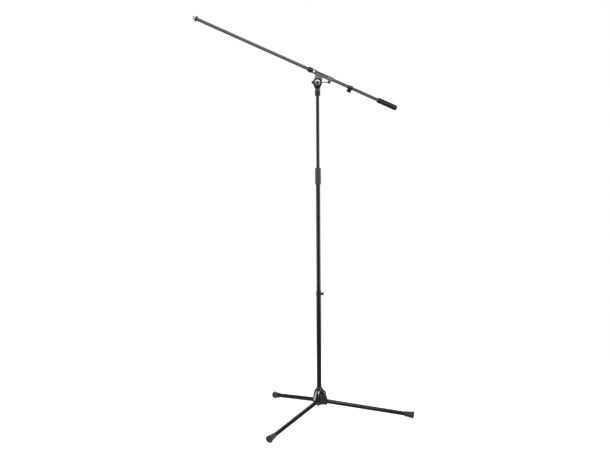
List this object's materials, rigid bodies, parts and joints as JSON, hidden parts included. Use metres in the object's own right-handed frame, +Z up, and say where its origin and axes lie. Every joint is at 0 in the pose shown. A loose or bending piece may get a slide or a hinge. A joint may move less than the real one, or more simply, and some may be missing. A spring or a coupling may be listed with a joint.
{
  "type": "boom microphone stand",
  "caption": "Folding tripod floor stand with a telescoping mast, a twist clutch and a tilting, sliding, counterweighted boom that ends in a microphone thread.",
  "frame": {"origin": "where the mast's axis meets the floor", "axes": "+Z up along the mast; +X along the right leg, towards the counterweight; the boom's microphone end points to -X and up; -Y is the front, where the T-bar is"},
  "size_m": [1.1048, 0.858, 2.0464],
  "materials": {
    "foot_rubber": "matt, fine moulded texture",
    "black_casting": "satin powder coat on a zinc casting",
    "plated_steel": "zinc plated",
    "bright_zinc": "bright nickel plate",
    "brass_pad": "plain",
    "black_tube": "semi-gloss black on steel tube",
    "black_weight": "semi-gloss black on solid steel",
    "grip_plastic": "fine grained glass-filled nylon",
    "black_plastic": "moulded nylon"
  },
  "bodies": {
    "base": {"base_bell": "black_casting", "leg_pins": "plated_steel", "base_clamp_pad": "brass_pad"},
    "leg_right": {"leg_right_knuckle": "black_plastic", "leg_right_tube": "black_tube", "leg_right_foot": "foot_rubber"},
    "leg_front_left": {"leg_front_left_knuckle": "black_plastic", "leg_front_left_tube": "black_tube", "leg_front_left_foot": "foot_rubber"},
    "leg_back_left": {"leg_back_left_knuckle": "black_plastic", "leg_back_left_tube": "black_tube", "leg_back_left_foot": "foot_rubber"},
    "base_knob": {"base_knob": "black_plastic", "base_knob_screw": "plated_steel"},
    "mast_lower": {"lower_tube": "black_tube", "lower_tube_plug": "black_plastic", "mid_clamp_collar": "black_plastic", "mid_clamp_pad": "brass_pad"},
    "mid_knob": {"mid_knob": "black_plastic", "mid_knob_screw": "plated_steel"},
    "mast_middle": {"middle_tube": "black_tube", "middle_tube_glide": "black_plastic", "clutch_seat": "black_plastic", "clutch_collet": "black_plastic"},
    "clutch_grip": {"clutch_grip": "grip_plastic"},
    "mast_upper": {"upper_rod": "black_tube", "rod_glide": "black_plastic", "rod_stud": "bright_zinc", "lock_sleeve": "black_plastic"},
    "lock_ring": {"lock_ring": "plated_steel"},
    "head": {"pan_washer": "black_plastic", "swivel_fork": "black_casting", "pivot_washers": "plated_steel", "pivot_nut": "plated_steel"},
    "t_screw": {"t_screw": "bright_zinc"},
    "t_bar": {"t_bar": "plated_steel", "t_bar_caps": "black_plastic"},
    "guide": {"boom_guide": "black_casting", "pivot_bush": "brass_pad", "guide_front_collar": "black_plastic", "guide_clamp_pad": "brass_pad"},
    "guide_knob": {"guide_knob": "black_plastic", "guide_knob_screw": "plated_steel"},
    "guide_liner": {"guide_liner": "black_plastic"},
    "boom": {"boom_tube": "black_tube", "tip_stud": "bright_zinc", "counterweight": "black_weight", "counterweight_screw": "plated_steel"},
    "tip_ring": {"tip_ring": "black_plastic"},
    "cable_clip": {"cable_clip": "black_plastic"}
  },
  "joints": [
    {"name": "leg_right_fold", "type": "hinge", "parent": "base", "child": "leg_right", "pos_m": [0.034, 0, 0.093], "axis": [0, 1, 0], "range_deg": [0, 80]},
    {"name": "leg_back_left_fold", "type": "hinge", "parent": "base", "child": "leg_back_left", "pos_m": [-0.017, 0.02944, 0.093], "axis": [-0.866, -0.5, 0], "range_deg": [0, 80]},
    {"name": "leg_front_left_fold", "type": "hinge", "parent": "base", "child": "leg_front_left", "pos_m": [-0.017, -0.02944, 0.093], "axis": [0.866, -0.5, 0], "range_deg": [0, 80]},
    {"name": "base_knob_turn", "type": "hinge", "parent": "base", "child": "base_knob", "pos_m": [0, 0, 0.148], "axis": [0.5, -0.866, 0], "range_deg": [0, 360]},
    {"name": "base_slide", "type": "slide", "parent": "base", "child": "mast_lower", "axis": [0, 0, 1], "range_m": [-0.43, 0]},
    {"name": "mid_knob_turn", "type": "hinge", "parent": "mast_lower", "child": "mid_knob", "pos_m": [0, 0, 0.65], "axis": [1, 0, 0], "range_deg": [0, 360]},
    {"name": "middle_tube_slide", "type": "slide", "parent": "mast_lower", "child": "mast_middle", "axis": [0, 0, 1], "range_m": [-0.45, 0]},
    {"name": "clutch_twist", "type": "hinge", "parent": "mast_middle", "child": "clutch_grip", "pos_m": [0, 0, 1.206], "axis": [0, 0, 1], "range_deg": [0, 120]},
    {"name": "upper_rod_slide", "type": "slide", "parent": "mast_middle", "child": "mast_upper", "axis": [0, 0, 1], "range_m": [-0.32, 0.1]},
    {"name": "lock_ring_turn", "type": "hinge", "parent": "mast_upper", "child": "lock_ring", "pos_m": [0, 0, 1.6773], "axis": [0, 0, 1], "range_deg": [0, 180]},
    {"name": "boom_pan", "type": "hinge", "parent": "mast_upper", "child": "head", "pos_m": [0, 0, 1.6843], "axis": [0, 0, 1], "continuous": true},
    {"name": "t_screw_turn", "type": "hinge", "parent": "head", "child": "t_screw", "pos_m": [0, 0, 1.716], "axis": [0, -1, 0], "range_deg": [-90, 180]},
    {"name": "t_bar_slide", "type": "slide", "parent": "t_screw", "child": "t_bar", "axis": [1, 0, 0], "range_m": [-0.04, 0.005]},
    {"name": "boom_tilt", "type": "hinge", "parent": "head", "child": "guide", "pos_m": [0, 0, 1.716], "axis": [0, 1, 0], "range_deg": [-100, 65]},
    {"name": "guide_knob_turn", "type": "hinge", "parent": "guide", "child": "guide_knob", "pos_m": [-0.01644, 0, 1.76951], "axis": [0, -1, 0], "range_deg": [0, 360]},
    {"name": "boom_roll", "type": "hinge", "parent": "guide", "child": "guide_liner", "pos_m": [0.01728, 0, 1.75428], "axis": [0.9114, 0, -0.4115], "continuous": true},
    {"name": "boom_slide", "type": "slide", "parent": "guide_liner", "child": "boom", "axis": [-0.9114, 0, 0.4115], "range_m": [-0.59, 0.08]},
    {"name": "tip_ring_turn", "type": "hinge", "parent": "boom", "child": "tip_ring", "pos_m": [-0.60247, 0, 2.03411], "axis": [0.9114, 0, -0.4115], "range_deg": [0, 360]},
    {"name": "cable_clip_slide", "type": "slide", "parent": "boom", "child": "cable_clip", "axis": [0.9114, 0, -0.4115], "range_m": [-0.08, 0.13]}
  ]
}
